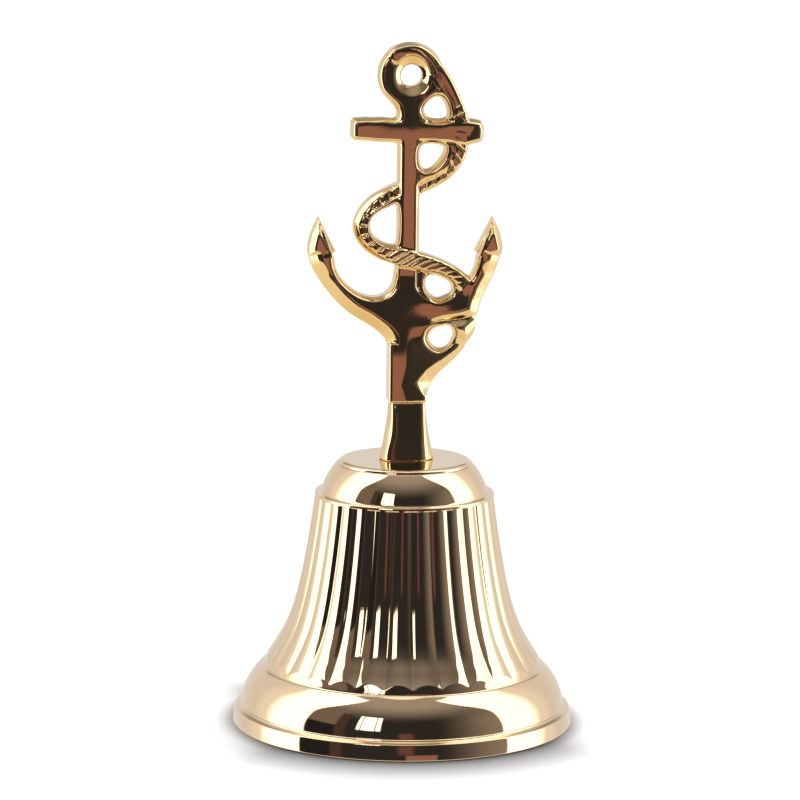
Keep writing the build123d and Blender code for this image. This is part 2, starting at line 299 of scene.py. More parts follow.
def blend_range(tree, value, start, end, low=0.0, high=1.0):
    """Low before start, high after end, smooth between."""
    limits = {"From Min": start, "From Max": end, "To Min": low, "To Max": high}
    return add(tree, "ShaderNodeMapRange", {"Value": value, **limits}, interpolation_type="SMOOTHSTEP")


# The Mix node repeats its socket names for each type of data, so its colour sockets go by number.
MIX_FACTOR = 0
MIX_COLOUR_A = 6
MIX_COLOUR_B = 7
MIX_COLOUR_RESULT = 2


def mix_colour(tree, factor, a, b):
    return add(tree, "ShaderNodeMix", {MIX_FACTOR: factor, MIX_COLOUR_A: a, MIX_COLOUR_B: b},
               output=MIX_COLOUR_RESULT, data_type="RGBA")


def noise(tree, place, scale, detail=3.0, roughness=0.5):
    return add(tree, "ShaderNodeTexNoise", {"Vector": place, "Scale": scale, "Detail": detail,
                                            "Roughness": roughness})


def stretched(tree, place, scale):
    """Coordinates multiplied axis by axis, to draw a pattern out along one of them."""
    return add(tree, "ShaderNodeVectorMath", {0: place, 1: scale}, operation="MULTIPLY")


def new_material(name):
    """A material, its node tree, its shader and the object's own coordinates."""
    material = bpy.data.materials.new(name)
    material.use_nodes = True
    tree = material.node_tree
    place = add(tree, "ShaderNodeTexCoord", output="Object")
    return material, tree, tree.nodes["Principled BSDF"], place


def round_the_axis(tree, place):
    """(radius, height, 0) of a place, so that a pattern of it runs in rings like lathe marks."""
    x, y, z = add(tree, "ShaderNodeSeparateXYZ", {"Vector": place}).node.outputs
    square = math_node(tree, "ADD", math_node(tree, "MULTIPLY", x, x), math_node(tree, "MULTIPLY", y, y))
    radius = math_node(tree, "SQRT", square)
    return add(tree, "ShaderNodeCombineXYZ", {"X": radius, "Y": z})


def polished(name, colour, hollow_shade_colour, rough=0.06, smear=0.05, ripple=0.0, lathe=0.0, scratch=0.02):
    """Polished metal: faint colour drift, smudges in the gloss, hairline scratches, and painted shade that
    darkens its recesses.
    """
    material, tree, shader, place = new_material(name)
    shader.inputs["Metallic"].default_value = 1.0
    drift = blend_range(tree, noise(tree, place, 45.0, 3.0), 0.35, 0.7)
    # Painted shade: hollows, where pointiness is low, are darkened in patches towards the dark brown colour
    # and made rougher.
    pointiness = add(tree, "ShaderNodeNewGeometry", output="Pointiness")
    hollow = blend_range(tree, pointiness, 0.36, 0.48, 1.0, 0.0)
    painted_hollow_shade = math_node(tree, "MULTIPLY", hollow, blend_range(tree, noise(tree, place, 400.0), 0.35, 0.6))
    warm = tuple(c * k for c, k in zip(colour[:3], (0.985, 0.96, 0.93))) + (1.0,)
    base = mix_colour(tree, drift, colour, warm)
    tree.links.new(mix_colour(tree, painted_hollow_shade, base, hollow_shade_colour), shader.inputs["Base Color"])
    smudges = blend_range(tree, noise(tree, place, 140.0, 5.0, 0.65), 0.45, 0.75)
    gloss = math_node(tree, "MULTIPLY_ADD", smudges, smear, rough)
    tree.links.new(math_node(tree, "MULTIPLY_ADD", painted_hollow_shade, 0.25, gloss), shader.inputs["Roughness"])
    hair = noise(tree, stretched(tree, place, (900.0, 900.0, 5200.0)), 1.0, 2.0, 0.7)
    height = math_node(tree, "MULTIPLY", hair, scratch)
    if ripple:
        height = math_node(tree, "MULTIPLY_ADD", noise(tree, place, 160.0, 1.5), ripple, height)
    if lathe:
        rings = stretched(tree, round_the_axis(tree, place), (5000.0, 5000.0, 1.0))
        height = math_node(tree, "MULTIPLY_ADD", noise(tree, rings, 1.0, 3.0, 0.7), lathe, height)
    bump = add(tree, "ShaderNodeBump", {"Height": height, "Distance": MM, "Strength": 1.0})
    tree.links.new(bump, shader.inputs["Normal"])
    return material


def steel(name, colour, rough, grain):
    """Plated or bare steel: dull gloss with fine tumbling marks and a few duller patches."""
    material, tree, shader, place = new_material(name)
    shader.inputs["Metallic"].default_value = 1.0
    patch = blend_range(tree, noise(tree, place, 250.0, 4.0, 0.6), 0.4, 0.7)
    dull = tuple(c * 0.72 for c in colour[:3]) + (1.0,)
    tree.links.new(mix_colour(tree, patch, colour, dull), shader.inputs["Base Color"])
    tree.links.new(math_node(tree, "MULTIPLY_ADD", patch, 0.15, rough), shader.inputs["Roughness"])
    marks = noise(tree, place, 3500.0, 3.0, 0.7)
    height = math_node(tree, "MULTIPLY", marks, grain)
    bump = add(tree, "ShaderNodeBump", {"Height": height, "Distance": MM})
    tree.links.new(bump, shader.inputs["Normal"])
    return material


BELL_BRASS = (0.84, 0.65, 0.43, 1.0)
ANCHOR_BRASS = (0.86, 0.65, 0.36, 1.0)
# The dark brown that polished() paints into hollows as shade.
HOLLOW_SHADE_BROWN = (0.20, 0.11, 0.05, 1.0)
bell_metal = polished("polished_bell_brass", BELL_BRASS, HOLLOW_SHADE_BROWN, rough=0.02, smear=0.03,
                      scratch=0.002, lathe=0.0004)
anchor_metal = polished("polished_anchor_brass", ANCHOR_BRASS, HOLLOW_SHADE_BROWN, rough=0.035, smear=0.04,
                        scratch=0.004, ripple=0.01)
turned_metal = polished("turned_brass", BELL_BRASS, HOLLOW_SHADE_BROWN, rough=0.14, smear=0.12, scratch=0.03,
                        lathe=0.012)
zinc_metal = steel("zinc_plated_steel", (0.66, 0.67, 0.68, 1.0), 0.24, 0.01)
spring_metal = steel("spring_steel", (0.42, 0.43, 0.45, 1.0), 0.3, 0.008)


# ---------------------------------------------------------------- the bell

REEDS = 30
REED_PHASE = -91.5          # degrees from +X to one valley
REED_HOLLOW = 0.52          # how far a valley lies below the crests
BAND_TOP = 17.9             # the turned band below the reeds cuts into them under this height
BAND_SLOPE = 0.4
REED_END = 61.2             # the plain ring above the reeds starts here
WAIST = [(37.75, 15.5), (36.1, 17.6), (34.3, 20.4), (31.95, 24.5), (29.68, 30), (27.58, 38), (25.67, 48),
         (24.15, 58), (23.75, 61.6)]
WAIST_INSIDE = [(20.9, 60.5), (22.4, 42.0), (26.8, 25.0), (33.2, 17.6)]
CROWN_TOP = 70.7
ROOF = 66.0                 # the underside of the crown, inside


def bell_profile():
    """Half of the bell's section, from the mouth up the outside and down the inside, closed."""
    rim = rounded([(43.2, 0), (44.98, 0), (44.75, 2.2), (44.45, 4.15), (43.3, 4.5), (43.0, 4.8),
                   (42.9, 5.8)], 0.25)[1:-1]
    lip = arc((42.97, 4.95), (41.27, 10.63), (37.5, 15.3), 36)
    waist = [(37.2, 15.5)] + smooth_line(WAIST, 18)[1:]
    ledge = rounded([(23.75, 61.6), (23.62, 61.95), (22.3, 61.95), (22.08, 62.35)], 0.2)[1:]
    shoulder = arc((22.1, 62.2), (20.46, 66.23), (17.9, 69.75), 34)[1:]
    boss = rounded([(17.9, 69.75), (17.45, 69.6), (17.4, 70.2), (16.7, CROWN_TOP),
                    (15, CROWN_TOP)], 0.3)[1:]
    crown = [(r, CROWN_TOP) for r in np.linspace(14, 3.5, 8)] + [(3.2, CROWN_TOP - 0.3)]
    roof = [(3.2, ROOF + 0.3), (3.5, ROOF)] + [(r, ROOF) for r in np.linspace(5, 15.5, 5)]
    roof += arc((16.4, ROOF), (19.5, 64.5), (20.9, 60.5), 16)
    inside = bezier(WAIST_INSIDE, 70)[1:]
    bow = arc((33.2, 17.6), (38.4, 9.6), (41.2, 0.4), 30)[1:]
    mouth = [(41.5, 0.08), (42.1, 0)]
    line = rim + lip + waist + ledge + shoulder + boss + crown + roof + inside + bow + mouth
    return line, len(rim) + len(lip), len(rim) + len(lip) + len(waist)


def reeded(radius, height, angle):
    """Cuts the reeds into the waist and the turned band across their lower ends."""
    turn = (np.degrees(angle) - REED_PHASE) / (360 / REEDS)
    across = 2 * (turn - np.floor(turn)) - 1
    rows = np.arange(len(radius))[:, None]
    on_waist = (rows >= waist_first) & (rows < waist_last) & (height < REED_END)
    run_out = ramp(height, REED_END, REED_END - 0.15)
    cut = (REED_HOLLOW * across ** 2 + 0.05) * run_out
    band = BAND_SLOPE * np.maximum(BAND_TOP - height, 0)
    return radius - on_waist * np.maximum(cut, band)


profile, waist_first, waist_last = bell_profile()
bell = turned("bell_reeded_shell", profile, REEDS * 20, reeded)
bell.data.materials.append(bell_metal)
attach(bell, "bell")
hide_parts("bell_shell")


# ---------------------------------------------------------------- the anchor handle

FACE = 4.0                  # half the casting's thickness
LEAN = -0.5                 # the arms sit a little to one side
OUTER_ARM = smooth_line([(4.1, 99.8), (4.7, 102.0), (6.4, 104.4), (9.9, 107.0), (14.0, 109.4),
                         (17.9, 112.8), (21.5, 117.1), (24.2, 121.4), (25.5, 125.2), (25.7, 127.8),
                         (24.8, 131.2), (22.9, 135.3)], 3)
RIGHT_ARM = smooth_line([(4.6, 99.8), (5.2, 102.6), (6.5, 104.9), (9.2, 106.2), (12.0, 106.7),
                         (15.0, 107.2), (17.8, 108.2), (19.3, 109.8), (20.0, 112.4), (21.3, 115.6),
                         (22.9, 118.6), (24.2, 122.0), (25.2, 125.8), (25.3, 128.2), (24.6, 131.2),
                         (22.9, 135.3)], 3)
INNER_ARM = smooth_line([(18.8, 124.4), (18.3, 122.0), (16.9, 119.2), (14.4, 116.7), (11.5, 114.9),
                         (8.3, 114.2), (5.5, 114.9), (3.6, 117.0), (2.9, 120.3), (2.4, 124.6)], 3)
FLUKE = [(22.9, 135.3), (24.8, 131.2), (25.6, 127.6), (25.4, 125.4), (21.6, 124.4), (18.3, 126.2)]
STOCK = [(-14.7, 160.0), (-14.2, 160.9), (-8, 161.0), (-3, 160.7), (5, 160.6), (12, 160.9), (15.3, 160.8),
         (18.7, 160.1), (19.4, 158.6), (19.3, 156.2), (18.9, 155.3), (15.4, 154.4), (10, 155.1), (3, 155.4),
         (-3, 155.2), (-8, 155.4), (-14.0, 155.9), (-14.7, 156.6)]
ROPE_SPAN = 6               # points on the rope's line to each stretch between its knots
ROPE_LINE = smooth_line([(-3.2, 177.6), (0.4, 178.45), (3.4, 177.4), (8.2, 171.9), (11.3, 166.0),
                         (13.3, 160.5), (13.5, 155.5), (12.5, 151.2), (9.2, 147.0), (3.4, 143.8),
                         (-3.6, 141.3), (-9.1, 138.2), (-12.0, 133.6), (-11.0, 129.6), (-7.2, 126.6),
                         (-2.2, 125.0), (2.4, 124.0), (7.0, 122.5), (11.5, 120.3), (14.6, 117.9),
                         (16.6, 115.4)], ROPE_SPAN)
ROPE_HALF = 2.25            # half the rope's width
ROPE_FACE = 3.7             # half its thickness
ROPE_STEPS = np.hypot(*np.diff(np.array(ROPE_LINE), axis=0).T)
ROPE_KNOTS = np.concatenate([[0], np.cumsum(ROPE_STEPS)])[::ROPE_SPAN]
ROPE_PITCH = [9, 9, 9, 2, 2, 2, 2.6, 2.6, 2.6, 2.6, 2.7, 2.8, 2.8, 2.8, 2.6, 2.4, 2.3, 2.3, 2.4, 2.4]
ROPE_STRANDS = np.concatenate([[0], np.cumsum(np.diff(ROPE_KNOTS) / ROPE_PITCH)])
TAIL = smooth_line([(5.4, 86.6), (5.9, 89.2), (7.1, 91.7), (9.3, 94.2), (12.4, 96.7), (15.4, 99.5),
                    (17.4, 102.6), (18.3, 106.0), (18.4, 108.6)], 3)
TAIL_WEB = TAIL + [(16, 109.5), (6, 108.5), (2, 112), (-1, 112), (-1, 87)]
WEBS = [[(1, 160), (3, 166), (2, 172), (6, 176.5), (9.5, 171), (12, 166), (13.4, 161)],
        [(1, 156), (13, 156), (13, 152), (9.6, 147.3), (3.4, 144), (1, 143)],
        [(-1, 142), (-5, 140.3), (-9.5, 137.6), (-11.5, 134), (-10.6, 130), (-7, 127), (-1, 125.5)],
        [(2.5, 121), (5, 123), (12, 120.5), (16.6, 116.5), (18, 113.5), (12, 111.5), (6, 112), (2.5, 115)]]


def smooth_loop(points, per_span=3):
    """A closed smooth curve through the points."""
    line = smooth_line(points[-2:] + points + points[:2], per_span)
    return line[2 * per_span:-per_span - 1]


EYE = (0.5, 172.4)          # the middle of the hole in the head
EYE_RADIUS = 2.85
DISH_RADIUS = 4.75          # of the recess round the hole, in the faces
HEAD_RADIUS = 8.7
STEM_TOP = 90.0             # the foot's neck ends inside the block
STEM_FOOT = 70.75           # the foot stands just over the bell's crown

# Each opening between the rope and the anchor, from the top down, and how far it flares in the faces.
HOLES = [
    (smooth_loop([(4.0, 163.3), (4.8, 165.0), (6.6, 166.5), (8.1, 166.5), (9.4, 164.9), (10.0, 162.8),
                  (9.5, 161.4), (7.3, 161.1), (5.0, 161.6)]), 1.3),
    (smooth_loop([(3.3, 153.6), (6.0, 154.4), (8.9, 153.8), (9.1, 152.3), (7.5, 149.8), (5.8, 148.2),
                  (4.2, 148.0), (3.1, 149.6)]), 1.2),
    (smooth_loop([(-3.0, 137.9), (-4.9, 137.8), (-7.6, 136.5), (-9.4, 134.8), (-9.8, 132.6),
                  (-8.9, 130.5), (-6.7, 128.9), (-4.3, 128.1), (-3.0, 129.0)]), 0.8),
    (smooth_loop([(4.9, 117.4), (5.4, 119.4), (7.3, 119.7), (10.2, 118.5), (11.7, 116.9), (11.3, 115.2),
                  (9.5, 114.3), (7.9, 113.9), (5.8, 115.3)]), 1.25),
    (smooth_loop([(5.9, 103.4), (7.2, 105.4), (9.5, 106.2), (11.2, 106.2), (12.3, 104.5), (11.7, 102.3),
                  (10.3, 100.8), (8.5, 100.4), (6.7, 101.6)]), 1.6)]


def soft_step(value, sharp=1.0):
    """0 for values well below 0, the value itself well above it, smooth between."""
    return np.logaddexp(0, value * sharp) / sharp


def face_at(x, z):
    """Half the casting's thickness: its hand-dressed faces lean a little this way and that."""
    neck_edge = 158.1 + 1.8 * (1 - np.exp(-np.abs(x - 0.5) / 4))
    head = 0.045 * soft_step(z - neck_edge, 1.5)
    on_stock = ramp(z, 150, 153) * ramp(z, 167, 163)
    stock_end = 0.15 * soft_step(x - 15.6 + 0.55 * (157.5 - z), 1.5) * on_stock
    under = 121.5 - 0.35 * x - z
    crown = 0.063 * (soft_step(under) - soft_step(under - 24)) - 0.65 * ramp(z, 125, 120)
    swell = 0.22 * np.exp(-((x - 6.3) / 4.4) ** 2 - ((z - 113.2) / 2.9) ** 2)
    ridge = np.interp(z, [83, 87, 91, 96, 101], [1.2, -0.6, -2.0, -0.6, -0.2])
    block = 0.16 * soft_step(x - ridge, 2.0) * ramp(z, 107, 101)
    shank = 0.16 * soft_step(x - 1.5, 2.0) * ramp(z, 147, 143) * ramp(z, 121, 125) * (x < 6)
    waves = 0.015 * np.sin(x * 0.55 + 1.3 * np.sin(z * 0.21)) * np.sin(z * 0.43 + 0.8)
    return FACE - head - stock_end + crown + swell - block - shank + waves


def plate(flat, y, face, width, depth, soft):
    """A plate of the given flat outline with rounded bevels round both faces."""
    top = smooth_max(bevel(-flat, y, face, width, depth), np.abs(y) - face, soft)
    return smooth_max(flat, top, 0.6)


def arm(x, y, z, face, edge):
    """One arm, drawn for the right side: a wide bevel outside and a narrow one inside."""
    flat = outline(x, z, [(-2.2, 99.6)] + edge + INNER_ARM + [(-2.2, 124.6)])
    outer = line_distance(x, z, edge)
    inner = line_distance(x, z, INNER_ARM)
    faces = smooth_max(np.abs(y) - face, bevel(outer, y, face, 2.8, 2.7), 0.6)
    faces = smooth_max(faces, bevel(inner, y, face, 1.0, 1.3), 0.5)
    return smooth_max(flat, faces, 0.5)


def fluke(x, y, z):
    """The spear head on an arm's end."""
    flat = outline(x, z, FLUKE)
    face = FACE + 0.3
    faces = smooth_max(np.abs(y) - face, bevel(-flat, y, face, 1.6, 2.4), 0.3)
    return smooth_max(faces, flat, 0.4)


def rope(x, y, z):
    """The rope round the anchor: a bevel on the outside of its bends, strands cut across its faces.

    Each feature changes from knot to knot: the side the inside of the bend is on, how far the rope
    lies towards the back, the bevel's width, and the slant and depth of the strands.
    """
    across, along = line_place(x, z, ROPE_LINE)
    at = np.interp(along, ROPE_KNOTS, np.arange(len(ROPE_KNOTS)))
    inside = across * np.interp(at, [9, 10, 14.5, 16], [-1, 1, 1, -1])
    back = np.interp(at, [7, 9, 10, 13, 15, 16, 18, 20], [0.0, 0.9, 0.8, 0.0, -0.9, -1.1, -0.8, 0.8])
    wide = np.interp(at, [0, 5, 6, 10, 11.2, 13.6, 15, 20], [0.5, 0.6, 0.9, 0.9, 1.7, 1.7, 0.8, 0.8])
    slant = np.interp(at, [2.6, 3, 5, 6, 9, 11, 14, 15, 20],
                      [0.65, 0.05, 0.05, -0.25, -0.2, 0.0, -0.1, -0.45, -0.5])
    depth = np.interp(at, [0, 2.6, 3, 4.2, 4.5, 5, 6, 9, 9.5, 10, 16.5, 18.5, 19],
                      [0.0, 0.26, 0.0, 0.0, 0.4, 0.4, 0.32, 0.32, 0.2, 0.42, 0.42, 0.2, 0.0])
    phase = np.interp(along, ROPE_KNOTS, ROPE_STRANDS) + slant * across
    groove = depth * (1 - ramp(np.abs(phase - np.round(phase)), 0.0, 0.22))
    groove = groove * ramp(inside + ROPE_HALF, wide * 0.6, wide * 1.2)
    out = y - back
    outer_bevel = bevel(ROPE_HALF + inside, out, ROPE_FACE, wide, wide * 1.1)
    inner_bevel = bevel(ROPE_HALF - inside, out, ROPE_FACE, 0.6, 0.8)
    faces = smooth_max(np.abs(out) - ROPE_FACE + groove, outer_bevel, 0.5)
    faces = smooth_max(faces, inner_bevel, 0.4)
    return smooth_max(np.abs(across) - ROPE_HALF, faces, 0.7)


def tail_bevel(x, y, z, face):
    """The slope along the outside of the rope's end, widest where it crosses the block's edge."""
    width = np.interp(z, [87.5, 88.5, 91.5, 94, 97, 100, 104, 106, 108.6],
                      [0.4, 1.2, 4.0, 3.4, 2.6, 2.1, 2.0, 3.6, 4.5])
    return bevel(line_distance(x, z, TAIL), y, face, width, 2.5)


def tail(x, y, z, face):
    """The rope's end, which runs into the block under the right arm."""
    flat = outline(x, z, TAIL_WEB)
    thick = face - 1.6 * ramp(z, 105.6, 108.6) * ramp(x, 5.5, 8.5)
    faces = smooth_max(np.abs(y) - thick, tail_bevel(x, y, z, face), 0.5)
    return smooth_max(flat, faces, 0.5)


def stem(x, y, z, face):
    """The block under the arms and the flared foot that stands on the bell."""
    block = smooth_max(bar(x, z, (0.25, 94.3), 5.0, 8.0), np.abs(y) - face, 0.9)
    half_width = 5.0 + 2.35 * np.clip((86.5 - z) / 15.5, 0, 1) ** 1.6
    half_depth = 3.1 + 0.6 * ramp(z, 87.0, 83.0) + 0.95 * np.clip((84 - z) / 13, 0, 1)
    left = x < 0.5
    edge = np.where(left, 3.6 + 1.4 * ramp(z, 79, 72), 4.7)
    flank = np.maximum(half_width + np.where(left, -0.4, 0.4) - edge, 0.3)
    beyond = np.where(left, -x, x) - edge
    front = np.abs(y) - half_depth + 0.012 * (x + 2.0) ** 2
    rise = half_depth - 1
    chamfer = (beyond * rise + (np.abs(y) - half_depth) * flank) / np.hypot(rise, flank)
    foot = smooth_max(smooth_max(np.abs(x - 0.4) - half_width, front, 0.5), chamfer, 1.0)
    foot = np.maximum(foot, np.maximum(z - STEM_TOP, STEM_FOOT - z))
    return smooth_min(block, foot, 0.4)


def eye_hole(x, y, z, face):
    """The hole in the head and the wide dished recess round it, steeper on the right; negative inside."""
    across, up = x - EYE[0], z - EYE[1]
    away = np.hypot(across, up) + 1e-6
    rim = DISH_RADIUS + 0.7 * (up / away) ** 2
    ease = 1.55 - 0.55 * np.maximum(across / away, 0)
    dish = (away - rim + np.maximum(face - np.abs(y), 0) * ease) / np.hypot(1, ease)
    return np.minimum(away - EYE_RADIUS, dish)


def anchor(x, y, z):
    """The whole casting: flat outlines thickened into plates, then arms, stem and rope, then the holes."""
    head = np.hypot(x - 0.4, z - EYE[1]) - HEAD_RADIUS
    neck = bar(x, z, (0.2, 163), 3.3, 5)
    ripple = 0.06 * np.sin(1.3 * x + 0.6) * ramp(z, 158.5, 160.5)
    stock = outline(x, z, STOCK) - 0.5 + ripple
    shank = bar(x, z, (0.1, 132), 3.0, 28)
    flat = smooth_min(smooth_min(head, neck, 2.6), smooth_min(stock, shank, 1.2), 1.6)
    face = face_at(x, z)
    body = plate(flat, y, face, 0.9, 2.2, 0.7)
    for web in WEBS:
        body = smooth_min(body, plate(outline(x, z, web), y, face - 0.2, 0.6, 0.8, 0.8), 0.5)
    for side, edge in ((-1, OUTER_ARM), (1, RIGHT_ARM)):
        arm_x = side * (x - LEAN)
        body = np.minimum(body, arm(arm_x, y, z, face, edge))
        body = smooth_min(body, fluke(arm_x, y, z), 0.25)
    body = np.minimum(body, tail(x, y, z, face))
    body = np.minimum(body, stem(x, y, z, face))
    beside_block = ramp(z, 87.6, 88.4) * ramp(z, 99, 97)
    body = smooth_max(body, tail_bevel(x, y, z, face) - 9 * (1 - beside_block), 0.4)
    body = smooth_min(body, rope(x, y, z), 0.5)
    for hole, flare in HOLES:
        body = smooth_max(body, flare * (y / FACE) ** 2 - outline(x, z, hole), 0.6)
    return smooth_max(body, -eye_hole(x, y, z, face), 0.35)


ANCHOR_STEP = 0.3
ANCHOR_LOW = (-26.5, -5.4, 70.4)
ANCHOR_HIGH = (26.5, 5.4, 181.4)
net_points, net_faces = surface_net(anchor, ANCHOR_LOW, ANCHOR_HIGH, ANCHOR_STEP)
handle = mesh_piece("anchor_with_rope", settle(net_points, anchor), net_faces)
handle.data.materials.append(anchor_metal)
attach(handle, "bell")
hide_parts("anchor_handle")


# ---------------------------------------------------------------- stud and clapper

PIN_HEIGHT = 45.6           # of the clapper's pin, which runs along Y
BALL_HEIGHT = 10.3
BALL_RADIUS = 8.5
ROD_RADIUS = 2.18
ROD_LOW = 10.4              # the rod ends inside the ball
EYE_HALF_DEPTH = 2.5
ROD_STEP = 0.25
NEAR_AXIS = 0.05            # radius where a turned profile closes
STUD_RADIUS = 2.98
THREAD_PITCH = 1.0
THREAD_DEPTH = 0.5
EYE_OUTSIDE = 3.98          # the radius of the clapper's eye
PIN_HOLE = 1.55             # and of the hole in it


def threaded(radius, height, angle):
    """Cuts a helical thread into the outside of a stud."""
    turn = height / THREAD_PITCH - angle / (2 * math.pi)
    groove = np.clip(1.3 * np.abs(2 * (turn - np.floor(turn)) - 1) - 0.15, 0, 1)
    return radius - THREAD_DEPTH * groove * (radius >= STUD_RADIUS)


def make_stud():
    low, high = (corner[2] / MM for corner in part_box("handle_stud"))
    side = [(STUD_RADIUS, z) for z in np.arange(low + 0.5, high - 0.5, 0.1)]
    line = [(NEAR_AXIS, low), (2.3, low), (2.6, low + 0.2)] + side + [(2.4, high), (NEAR_AXIS, high)]
    stud = turned("threaded_stud", line, 48, threaded)
    stud.data.materials.append(zinc_metal)
    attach(stud, "bell")
    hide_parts("handle_stud")


def clapper_rod(x, y, z):
    """A round rod that swells into a flat-sided eye."""
    shaft = np.hypot(x, y) - ROD_RADIUS - 0.8 * ramp(z, 35, 42.5)
    shaft = smooth_max(shaft, np.abs(y) - EYE_HALF_DEPTH, 0.3)
    shaft = np.maximum(shaft, np.maximum(z - PIN_HEIGHT, ROD_LOW - z))
    from_pin = np.hypot(x, z - PIN_HEIGHT)
    eye = smooth_max(from_pin - EYE_OUTSIDE, np.abs(y) - EYE_HALF_DEPTH, 0.9)
    return smooth_max(smooth_min(shaft, eye, 1.2), PIN_HOLE - from_pin, 0.3)


def make_clapper():
    points, faces = surface_net(clapper_rod, (-4.2, -2.7, 10.2), (4.2, 2.7, 49.8), ROD_STEP)
    rod = mesh_piece("clapper_rod_with_eye", settle(points, clapper_rod), faces)
    sphere = [(BALL_RADIUS * math.cos(t), BALL_HEIGHT + BALL_RADIUS * math.sin(t))
              for t in np.radians(np.linspace(-83, 68.3, 60))]
    socket_wall = [(2.9, 18.2), (2.4, 18.2), (2.22, 18.0), (2.22, 10.5), (NEAR_AXIS, ROD_LOW)]
    line = [(NEAR_AXIS, 2.5), (0.7, 1.95)] + sphere + socket_wall
    ball = turned("clapper_ball_turned", line, 96)
    for piece, node in ((rod, "clapper_rod"), (ball, "clapper_ball")):
        piece.data.materials.append(turned_metal)
        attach(piece, "clapper")
        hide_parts(node)


make_stud()
make_clapper()


# ---------------------------------------------------------------- finishes of the CAD pieces that stay

def finish_node(name, material):
    """Gives a CAD node a finish; its mesh stays as it is."""
    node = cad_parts[name]
    if node.data.materials:
        for index in range(len(node.data.materials)):
            node.data.materials[index] = material
    else:
        node.data.materials.append(material)


for name in ("crown_washer", "crown_nut", "yoke_nut", "yoke_pin", "clapper_jam_nut"):
    finish_node(name, zinc_metal)
for name in ("lock_washer", "pin_clip"):
    finish_node(name, spring_metal)
for name in ("clapper_yoke", "spacer_low", "spacer_high"):
    finish_node(name, turned_metal)


# ---------------------------------------------------------------- floor, light and camera

CAMERA_AZIMUTH = math.radians(-96.0)
CAMERA_ELEVATION = math.radians(10.3)
CAMERA_DISTANCE = 1.2
CAMERA_ROLL = math.radians(0.62)
CAMERA_LENS = 204.9
LOOK_AT = (-0.0014, 0.0, 0.0864)
SHADOW_REACH = 0.021        # how far the contact shadow runs out in front of the bell
SHADOW_STRENGTH = 5.0
SHADOW_SIDES = (0.028, 0.050)       # it fades out between these distances left and right of the middle
SHADOW_RING = (0.0445, 0.0505)      # and leaves a pale shade between these radii there
FLOOR_HALF = (0.42, 0.30)
FLOOR_MIDDLE = (0.0, 0.05, -0.0001)
OVERHEAD_STRENGTH = 2.3
OVERHEAD_SPREAD = math.radians(70)
OVERHEAD_TILT = (math.radians(-24), math.radians(12), 0.0)


def floor_material():
    """White paper with a contact shadow, narrower at the bell's sides; clear when seen from below."""
    material, tree, shader, place = new_material("white_paper")
    grain = noise(tree, place, 900.0, 3.0)
    colour = mix_colour(tree, grain, (0.86, 0.86, 0.86, 1.0), (0.88, 0.88, 0.88, 1.0))
    open_sky = add(tree, "ShaderNodeAmbientOcclusion", {"Distance": SHADOW_REACH}, output="AO", samples=24)
    contact = math_node(tree, "POWER", open_sky, SHADOW_STRENGTH)
    across = add(tree, "ShaderNodeSeparateXYZ", {"Vector": place}, output="X")
    off_centre = math_node(tree, "ABSOLUTE", across)
    flat_place = stretched(tree, place, (1.0, 1.0, 0.0))
    radius = add(tree, "ShaderNodeVectorMath", {0: flat_place}, output="Value", operation="LENGTH")
    filled = math_node(tree, "MULTIPLY", blend_range(tree, off_centre, *SHADOW_SIDES),
                       blend_range(tree, radius, *SHADOW_RING, 0.55, 1.0))
    contact = math_node(tree, "MAXIMUM", contact, filled)
    colour = mix_colour(tree, contact, (0.03, 0.028, 0.026, 1.0), colour)
    diffuse = add(tree, "ShaderNodeBsdfDiffuse", {"Color": colour})
    clear = add(tree, "ShaderNodeBsdfTransparent")
    below = add(tree, "ShaderNodeNewGeometry", output="Backfacing")
    mixed = add(tree, "ShaderNodeMixShader", {0: below, 1: diffuse, 2: clear})
    tree.links.new(mixed, tree.nodes["Material Output"].inputs["Surface"])
    return material


def make_floor():
    """An oval sheet just under the bell, which the bell's polish doesn't show."""
    x, y, z = FLOOR_MIDDLE
    ring = [(x + FLOOR_HALF[0] * math.cos(t), y + FLOOR_HALF[1] * math.sin(t), z)
            for t in np.linspace(0, 2 * math.pi, 96, endpoint=False)]
    mesh = bpy.data.meshes.new("floor")
    mesh.from_pydata(ring, [], [list(range(len(ring)))])
    floor = bpy.data.objects.new("floor", mesh)
    bpy.context.scene.collection.objects.link(floor)
    mesh.materials.append(floor_material())
    floor.visible_glossy = False


def patch(tree, turn, rise, left, right, low, high, soft):
    """1 inside a window of directions, in degrees, and 0 outside."""
    across = math_node(tree, "MULTIPLY", blend_range(tree, turn, left - soft, left + soft),
                       blend_range(tree, turn, right - soft, right + soft, 1.0, 0.0))
    upright = math_node(tree, "MULTIPLY", blend_range(tree, rise, low - soft, low + soft),
                        blend_range(tree, rise, high - soft, high + soft, 1.0, 0.0))
    return math_node(tree, "MULTIPLY", across, upright)


# What stands in the dim room, in the order it is laid down: the edges of each thing in degrees to
# the right of the camera (left, right) and above level (low, high), how soft they are, and its colour.
WINDOW = (2.6, 2.6, 2.6, 1.0)
ROOM = [(-90.0, -44.0, 16.0, 46.0, 2.0, (0.20, 0.165, 0.15, 1.0)),     # a wall on the left
        (-90.0, -49.0, -90.0, 17.0, 1.5, (0.02, 0.02, 0.025, 1.0)),    # a dark cupboard in front of it
        (-49.0, -41.0, -90.0, 40.0, 1.5, (0.07, 0.05, 0.045, 1.0)),    # a post
        (-2.0, 8.0, -4.0, 10.0, 2.5, (0.16, 0.075, 0.07, 1.0)),        # something red
        (3.0, 24.0, -26.0, -4.8, 1.0, (0.33, 0.165, 0.15, 1.0)),       # a brown chest under it
        (-33.0, -30.6, 13.5, 39.0, 0.6, WINDOW),
        (-29.6, -19.8, 13.5, 39.0, 0.6, WINDOW),
        (-18.8, -15.4, 13.5, 39.0, 0.6, WINDOW)]


